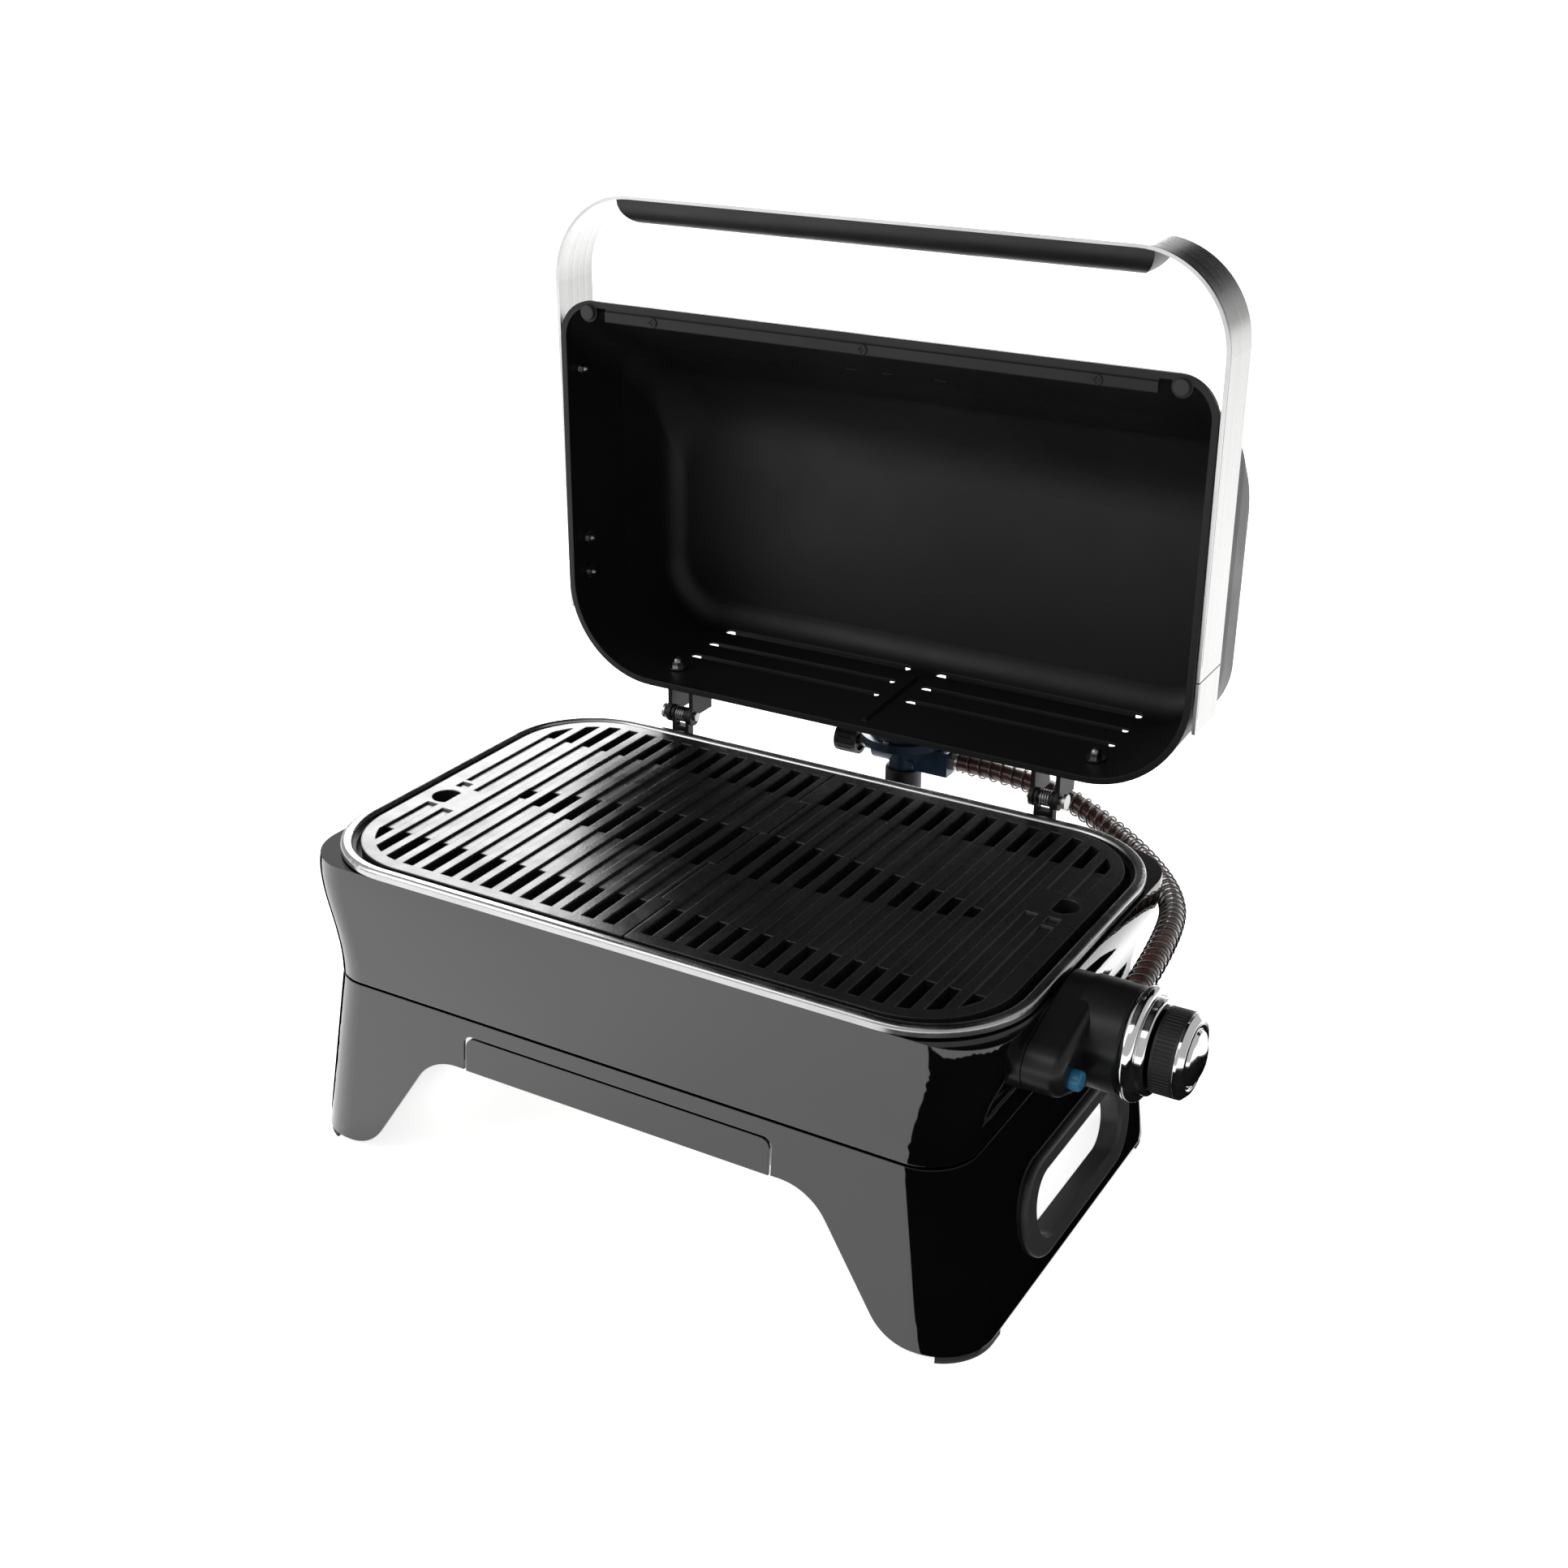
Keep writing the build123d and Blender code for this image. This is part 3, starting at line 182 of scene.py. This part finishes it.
def make_guard(points):
    """The wire spring that is wound round the hose."""
    track = carried_frames(resample(points, GUARD_PITCH / GUARD_STEPS_PER_TURN))
    total = track[-1][1]
    wire = []
    for at, travelled, across, other in track:
        if travelled < GUARD_END_GAP or travelled > total - GUARD_END_GAP:
            continue
        angle = 2 * math.pi * travelled / GUARD_PITCH
        wire.append(at + GUARD_COIL_RADIUS * (math.cos(angle) * across + math.sin(angle) * other))
    mesh = tube_mesh("hose_guard_wire", wire, GUARD_WIRE_RADIUS, GUARD_WIRE_SIDES)
    return link("hose_guard_wire", mesh)


hose = make_hose()
hose_line = curve_points(hose)
guard = make_guard(hose_line)
hose.data.bevel_depth = 1.0            # times the radius that the points carry
hose.data.bevel_resolution = 8
hose.data.use_fill_caps = True
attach(hose, "base")
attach(guard, "base")
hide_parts("gas_hose")
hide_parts("hose_spring_guard")


# ---- turned bright parts of the knob ------------------------------------------------------
KNOB_AXIS = (-42.0, 169.2)             # y and z
TURNED_SIDES = 160
TURNED_CORNER_CUT = 0.16
STRAIGHT_ENOUGH = 20                   # degrees of turn below which a corner stays as it is

BEZEL_START = 275.0
BEZEL_LENGTH = 13.0
BEZEL_BORE = 10.0
BEZEL_LIP_RADIUS = 28.9
BEZEL_NECK_RADIUS = 27.0

CAP_START = 303.0
CAP_RING = [(0.02, 0.05), (0.02, 23.95), (1.7, 23.95), (4.8, 20.6), (5.0, 18.0), (4.2, 17.6), (4.2, 16.0)]
CAP_DOME_RADIUS = 29.4
CAP_DOME_CENTRE = (-19.4, 0.0)


def arc(centre, radius, start, end, steps=12):
    angles = [math.radians(start + (end - start) * i / steps) for i in range(steps + 1)]
    return [Vector((centre[0] + radius * math.cos(a), centre[1] + radius * math.sin(a))) for a in angles]


def soften(loop):
    """A closed profile with its sharp corners cut off finely and held by close support points."""
    out = []
    for i, corner in enumerate(loop):
        before, after = loop[i - 1] - corner, loop[(i + 1) % len(loop)] - corner
        if math.degrees(math.pi - before.angle(after)) < STRAIGHT_ENOUGH:
            out.append(corner)
            continue
        for side, steps in ((before, (2, 1)), (after, (1, 2))):
            reach = min(TURNED_CORNER_CUT, side.length / 5)
            out += [corner + side.normalized() * reach * step for step in steps]
    return out


def turned(name, start, profile):
    """A closed profile of (distance along the axis, radius) turned about the knob's axis."""
    loop = soften([Vector(p) for p in profile])
    vertices, faces = [], []
    for i in range(TURNED_SIDES):
        angle = 2 * math.pi * i / TURNED_SIDES
        for along, radius in loop:
            at = Vector((start + along, KNOB_AXIS[0] + radius * math.cos(angle),
                         KNOB_AXIS[1] + radius * math.sin(angle)))
            vertices.append(tuple(BODY_CENTRE + at / 1000))
    count = len(loop)
    for i in range(TURNED_SIDES):
        j = (i + 1) % TURNED_SIDES
        for k in range(count):
            m = (k + 1) % count
            faces.append((i * count + k, j * count + k, j * count + m, i * count + m))
    mesh = bpy.data.meshes.new(name)
    mesh.from_pydata(vertices, [], faces)
    for polygon in mesh.polygons:
        polygon.use_smooth = True
    return link(name, mesh)


def make_knob_bezel():
    """A rolled lip and a stepped neck, with the bore for the knob's stem."""
    lip = arc((3.4, BEZEL_LIP_RADIUS), 3.4, 180, 90) + arc((4.6, BEZEL_LIP_RADIUS), 3.4, 90, 0)
    neck = [Vector((8.0, BEZEL_NECK_RADIUS))] + arc((11.4, 25.4), 1.6, 90, 0, 8)
    bore = [(0, BEZEL_BORE)], [(BEZEL_LENGTH, BEZEL_BORE)]
    return turned("bezel_turned", BEZEL_START, bore[0] + lip + neck + bore[1])


def make_knob_cap():
    """A chamfered ring round a shallow dome."""
    dome = arc(CAP_DOME_CENTRE, CAP_DOME_RADIUS, 30, 0.1, 24)
    return turned("cap_turned", CAP_START, CAP_RING + dome)


knob_bezel = make_knob_bezel()
knob_cap = make_knob_cap()
for turned_piece, body, node in ((knob_bezel, "base", "knob_bezel"), (knob_cap, "burner_knob", "knob_cap")):
    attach(turned_piece, body)
    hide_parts(node)


# ---- materials ----------------------------------------------------------------------------
NOISE_LOW, NOISE_HIGH = 0.3, 0.7       # where the useful part of a noise starts and ends
BEVEL_SAMPLES = 4


class Shader:
    """A Principled material with a few shorthands for its node tree."""

    def __init__(self, name, **sockets):
        self.material = bpy.data.materials.new(name)
        self.material.use_nodes = True
        self.tree = self.material.node_tree
        self.bsdf = self.tree.nodes["Principled BSDF"]
        for key, value in sockets.items():
            self.bsdf.inputs[key.replace("_", " ")].default_value = value
        self.coordinates = self.tree.nodes.new("ShaderNodeTexCoord").outputs["Object"]

    def scaled(self, scale):
        mapping = self.tree.nodes.new("ShaderNodeMapping")
        mapping.inputs["Scale"].default_value = scale
        self.tree.links.new(self.coordinates, mapping.inputs["Vector"])
        return mapping.outputs["Vector"]

    def noise(self, scale, detail=3.0, roughness=0.5, stretch=(1, 1, 1)):
        node = self.tree.nodes.new("ShaderNodeTexNoise")
        node.inputs["Scale"].default_value = scale
        node.inputs["Detail"].default_value = detail
        node.inputs["Roughness"].default_value = roughness
        self.tree.links.new(self.scaled(stretch), node.inputs["Vector"])
        return node.outputs["Fac"]

    def cells(self, scale):
        node = self.tree.nodes.new("ShaderNodeTexVoronoi")
        node.inputs["Scale"].default_value = scale
        self.tree.links.new(self.scaled((1, 1, 1)), node.inputs["Vector"])
        return node.outputs["Distance"]

    def colour(self, value, low, high):
        """The base colour, from low to high as the value rises."""
        node = self.tree.nodes.new("ShaderNodeValToRGB")
        stops = ((NOISE_LOW, low), (NOISE_HIGH, high))
        for element, (at, shade) in zip(node.color_ramp.elements, stops):
            element.position = at
            element.color = (*shade, 1.0)
        self.tree.links.new(value, node.inputs["Fac"])
        self.tree.links.new(node.outputs["Color"], self.bsdf.inputs["Base Color"])

    def roughness(self, value, low, high):
        """The roughness, from low to high as the value rises."""
        node = self.tree.nodes.new("ShaderNodeMapRange")
        ends = (("From Min", NOISE_LOW), ("From Max", NOISE_HIGH), ("To Min", low), ("To Max", high))
        for key, number in ends:
            node.inputs[key].default_value = number
        self.tree.links.new(value, node.inputs["Value"])
        self.tree.links.new(node.outputs["Result"], self.bsdf.inputs["Roughness"])

    def rounded(self, radius):
        """Shades every edge as if it were rounded off."""
        node = self.tree.nodes.new("ShaderNodeBevel")
        node.samples = BEVEL_SAMPLES
        node.inputs["Radius"].default_value = radius
        self.tree.links.new(node.outputs["Normal"], self.bsdf.inputs["Normal"])

    def bump(self, height, strength, distance):
        """Relief, on top of any relief or rounding that is there already."""
        node = self.tree.nodes.new("ShaderNodeBump")
        node.inputs["Strength"].default_value = strength
        node.inputs["Distance"].default_value = distance
        self.tree.links.new(height, node.inputs["Height"])
        if self.bsdf.inputs["Normal"].is_linked:
            before = self.bsdf.inputs["Normal"].links[0].from_socket
            self.tree.links.new(before, node.inputs["Normal"])
        self.tree.links.new(node.outputs["Normal"], self.bsdf.inputs["Normal"])
        return self.material


def grey(value):
    return (value, value, value)


def scaled_colour(colour, factor):
    return tuple(factor * c for c in colour)


def enamel(name="gloss_black_enamel"):
    """Deep gloss black with a faint orange peel and a little dust in its sheen."""
    s = Shader(name, IOR=1.56, Coat_Weight=0.4, Coat_Roughness=0.02, Coat_IOR=1.5)
    s.colour(s.noise(9.0), (0.0012, 0.0012, 0.0013), (0.0024, 0.0024, 0.0025))
    s.roughness(s.noise(24.0, 4.0), 0.03, 0.06)
    s.rounded(0.0008)
    return s.bump(s.noise(160.0, 1.0), 0.004, 0.0005)


def satin(name="satin_black_paint"):
    """Heat-resistant paint, finely textured."""
    s = Shader(name, IOR=1.36)
    s.colour(s.noise(7.0, 4.0), (0.0018, 0.0022, 0.0021), (0.0034, 0.0038, 0.0036))
    s.roughness(s.noise(18.0, 4.0), 0.44, 0.54)
    s.rounded(0.0010)
    return s.bump(s.noise(1400.0, 2.0), 0.10, 0.0003)


def cast(name, pebble, rough):
    """Enamelled casting: pebbled, with polish worn on and off and rounded edges."""
    s = Shader(name, IOR=1.62)
    s.colour(s.noise(14.0, 5.0), (0.007, 0.007, 0.0075), (0.013, 0.013, 0.013))
    s.roughness(s.noise(60.0, 5.0), rough, 1.5 * rough)
    s.rounded(0.0012)
    s.bump(s.cells(620.0), pebble, 0.0004)
    return s.bump(s.noise(1500.0, 2.0), pebble, 0.0003)


def polished(name, colour, rough):
    """Bright metal with faint polishing marks."""
    s = Shader(name, Metallic=1.0)
    s.colour(s.noise(30.0, 3.0), scaled_colour(colour, 0.9), colour)
    s.roughness(s.noise(40.0, 4.0), rough * 0.7, rough * 1.3)
    return s.bump(s.noise(900.0, 2.0), 0.01, 0.0001)


def brushed(name, colour, rough, stretch):
    """Metal with a directional grain, which runs along the axis with the smallest stretch."""
    s = Shader(name, Metallic=1.0)
    grain = s.noise(1.0, 6.0, 0.7, stretch)
    s.colour(grain, scaled_colour(colour, 0.62), colour)
    s.roughness(grain, rough * 0.75, rough * 1.35)
    return s.bump(grain, 0.22, 0.0002)


def plastic(name, value, rough, grain=900.0, strength=0.12):
    """Moulded black plastic with a fine spark-eroded grain."""
    s = Shader(name, IOR=1.4)
    s.colour(s.noise(12.0, 3.0), grey(0.7 * value), grey(1.2 * value))
    s.roughness(s.noise(30.0, 3.0), rough * 0.85, rough * 1.15)
    return s.bump(s.noise(grain, 2.0), strength, 0.0003)


def tinted(name, dark, light, rough, **sockets):
    """A coloured lacquer, glaze or rubber, slightly mottled."""
    s = Shader(name, **sockets)
    s.colour(s.noise(45.0, 4.0), dark, light)
    s.roughness(s.noise(80.0, 3.0), rough * 0.8, rough * 1.2)
    return s.bump(s.noise(700.0, 3.0), 0.12, 0.0003)


looks = {
    "body_enamel": enamel(),
    "satin_black": satin(),
    "cast_iron": cast("enamelled_casting", 0.06, 0.22),
    "bright_metal": polished("polished_bright_metal", (0.74, 0.74, 0.75), 0.12),
    "steel": brushed("plain_steel", (0.56, 0.55, 0.53), 0.32, (60, 60, 500)),
    "aluminium": brushed("brushed_aluminium", (0.56, 0.56, 0.555), 0.25, (6, 900, 6)),
    "black_plastic": plastic("matte_black_plastic", 0.006, 0.44),
    "gloss_plastic": plastic("smooth_black_plastic", 0.004, 0.33, 500.0, 0.03),
    "rubber": plastic("black_rubber", 0.018, 0.70, 400.0, 0.3),
    "ceramic": tinted("white_glaze", (0.62, 0.60, 0.55), (0.78, 0.76, 0.71), 0.25),
    "blue_button": tinted("blue_translucent", (0.006, 0.075, 0.15), (0.016, 0.14, 0.24), 0.25,
                          Transmission_Weight=0.15, IOR=1.46),
    "regulator_blue": tinted("blue_lacquer", (0.006, 0.017, 0.035), (0.013, 0.036, 0.07), 0.36,
                             Metallic=0.3, Coat_Weight=0.3),
    "brass": brushed("machined_brass", (0.72, 0.55, 0.27), 0.30, (400, 60, 60)),
    "hose_rubber": tinted("dark_brown_hose", (0.022, 0.007, 0.005), (0.085, 0.024, 0.015), 0.32,
                          Coat_Weight=0.25),
}
spring_wire = brushed("spring_wire", (0.22, 0.215, 0.21), 0.26, (300, 300, 300))
dark_steel = brushed("darkened_steel", (0.30, 0.30, 0.30), 0.24, (60, 60, 500))
node_looks = {                         # nodes whose finish differs a little from their slot's
    "rim_ring": polished("satin_rim", (0.46, 0.46, 0.46), 0.26),
    "handle_bezel_right": plastic("bezel_plastic", 0.026, 0.38),
    "handle_bezel_left": plastic("bezel_plastic_left", 0.026, 0.38),
    "lid_strip_screws": looks["satin_black"],
    "handle_bolts": dark_steel,
    "lid_hinge_fasteners": dark_steel,
    "hinge_springs": dark_steel,
}
slot_of = {part["node"]: part["material_slot"] for part in frame["record"]["subparts"]}
for name, piece in nodes.items():
    look = node_looks.get(name, looks[slot_of[name]])
    for material_slot in piece.material_slots:
        material_slot.material = look
    if not piece.material_slots:
        piece.data.materials.append(look)
knob_bezel.data.materials.append(looks["bright_metal"])
knob_cap.data.materials.append(looks["bright_metal"])
hose.data.materials.append(looks["hose_rubber"])
guard.data.materials.append(spring_wire)


# ---- studio -------------------------------------------------------------------------------
FLOOR_HALF = 40.0
FLOOR_GLOW = 0.72      # the floor glows though it is no lamp: painted light that keeps it white and takes the shadows out
WORLD_STRENGTH = 0.6

OVERHEAD_STRENGTH = 0.8
OVERHEAD_SPREAD = 50   # degrees
OVERHEAD_FROM = (-0.8, -0.9, 2.4)

SOFT_BOXES = {         # place, target, size, watts, and the nodes that it is flagged off
    "rear_left": ((-1.1, 1.55, 1.05), (-0.1, 0.0, 0.2), (1.5, 1.0), 32, ["upper_shell"]),
    "front_left": ((-1.6, -1.6, 1.3), (0.0, 0.0, 0.25), (1.4, 1.4), 15, []),
}

CARD_HEIGHT = 0.0015   # of the cards that lie on the floor
CARD_RIGHT = [(0.206, -0.150), (0.098, -0.44), (0.02, -0.64), (0.9, -0.64), (0.9, 0.30),
              (0.237, 0.30), (0.237, -0.12)]
CARD_LEFT = [(-0.24, -0.128), (-0.24, 0.6), (-1.0, 0.6), (-1.0, 0.07), (-0.52, -0.055)]
# black sheets seen only in reflections: painted dark reflections on the gloss
BLACK_CARDS = {
    "card_right": [(x, y, CARD_HEIGHT) for x, y in CARD_RIGHT],
    "card_left": [(x, y, CARD_HEIGHT) for x, y in CARD_LEFT],
    "card_behind": [(-0.1, 2.0, 1.0), (1.7, 2.0, 1.0), (1.7, 2.0, 2.6), (-0.1, 2.0, 2.6)],
    "card_above": [(-1.6, -1.3, 2.3), (1.6, -1.3, 2.3), (1.6, 2.0, 2.3), (-1.6, 2.0, 2.3)],
}


def make_floor():
    mesh = bpy.data.meshes.new("floor")
    size = FLOOR_HALF
    corners = [(-size, -size, 0), (size, -size, 0), (size, size, 0), (-size, size, 0)]
    mesh.from_pydata(corners, [], [(0, 1, 2, 3)])
    floor = link("floor", mesh)
    s = Shader("pale_floor", IOR=1.3, Roughness=0.9, Specular_IOR_Level=0.1,
               Emission_Color=(1, 1, 1, 1), Emission_Strength=FLOOR_GLOW)
    s.colour(s.noise(2.0), grey(0.90), grey(0.92))
    mesh.materials.append(s.material)


def make_world():
    world = bpy.data.worlds.new("studio")
    world.use_nodes = True
    background = world.node_tree.nodes["Background"]
    background.inputs["Color"].default_value = (1, 1, 1, 1)
    background.inputs["Strength"].default_value = WORLD_STRENGTH
    bpy.context.scene.world = world


def aim(piece, at, target):
    turn = (Vector(at) - Vector(target)).to_track_quat("Z", "Y")
    piece.matrix_world = Matrix.Translation(at) @ turn.to_matrix().to_4x4()


def make_overhead():
    data = bpy.data.lights.new("overhead", "SUN")
    data.energy = OVERHEAD_STRENGTH
    data.angle = math.radians(OVERHEAD_SPREAD)
    aim(link("overhead", data), OVERHEAD_FROM, (0, 0, 0))


def soft_box(name, at, target, size, watts, shaded):
    """A soft box, flagged off the nodes that it would burn out."""
    data = bpy.data.lights.new(name, "AREA")
    data.shape = "RECTANGLE"
    data.size, data.size_y = size
    data.energy = watts
    lamp = link(name, data)
    aim(lamp, at, target)
    lamp.visible_camera = False
    if shaded:
        flag = bpy.data.collections.new(name + "_flag")
        for node in shaded:
            flag.objects.link(nodes[node])
        for entry in flag.collection_objects:
            entry.light_linking.link_state = "EXCLUDE"
        lamp.light_linking.receiver_collection = flag


def black_card(name, corners):
    """A black card that only reflections see: painted dark reflections that keep parts of the gloss dark.
    """
    mesh = bpy.data.meshes.new(name)
    mesh.from_pydata([tuple(BODY_CENTRE + Vector(c)) for c in corners], [], [tuple(range(len(corners)))])
    card = link(name, mesh)
    s = Shader("painted_reflection_black", Roughness=1.0, Specular_IOR_Level=0.0)
    s.colour(s.noise(3.0), grey(0.0), grey(0.001))
    mesh.materials.append(s.material)
    card.visible_camera = False
    card.visible_diffuse = False
    card.visible_transmission = False
    card.visible_shadow = False


make_floor()
make_world()
make_overhead()
for name, settings in SOFT_BOXES.items():
    soft_box(name, *settings)
for name, corners in BLACK_CARDS.items():
    black_card(name, corners)
bpy.context.scene.view_settings.view_transform = "Standard"
